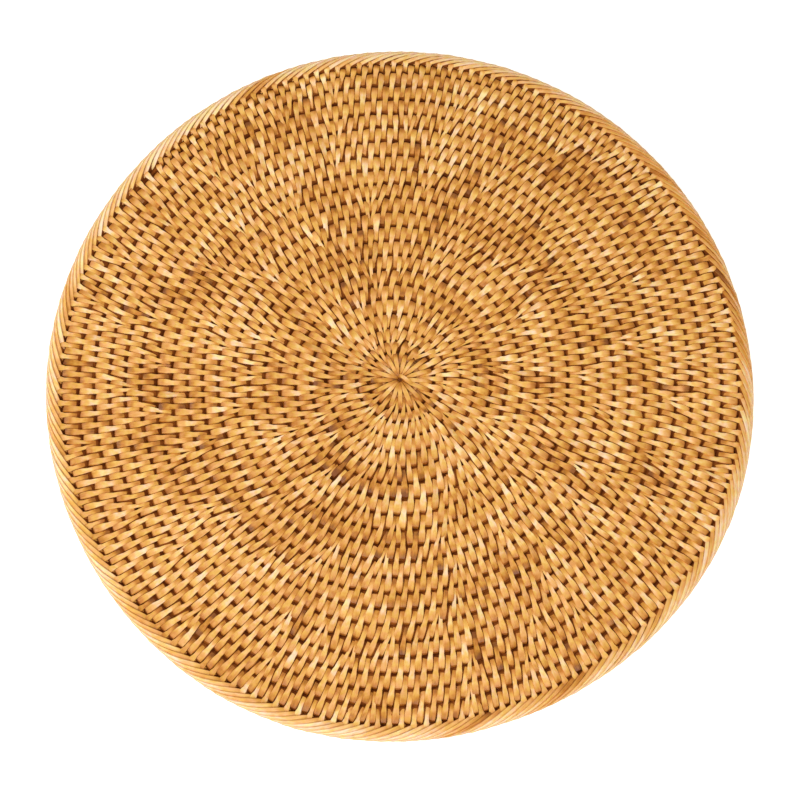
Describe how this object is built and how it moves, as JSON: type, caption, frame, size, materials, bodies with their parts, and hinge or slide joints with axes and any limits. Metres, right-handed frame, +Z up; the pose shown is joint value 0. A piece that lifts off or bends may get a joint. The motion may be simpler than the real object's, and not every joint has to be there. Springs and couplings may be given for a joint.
{
  "type": "rattan placemat",
  "caption": "Round flat placemat of coiled rattan lashed with split cane, with a raised wrapped hoop rim.",
  "frame": {"origin": "middle of the underside, under the eye, on the surface that the mat lies on", "axes": "+Z up out of the mat; the turns of the coil step outwards on the +Y side"},
  "size_m": [0.3802, 0.3799, 0.0087],
  "materials": {
    "eye_cane": "varnished split cane",
    "coil_cane": "varnished split cane",
    "rim_cane": "varnished split cane"
  },
  "bodies": {
    "root": {"eye": "eye_cane", "coil": "coil_cane", "rim": "rim_cane"}
  },
  "joints": []
}
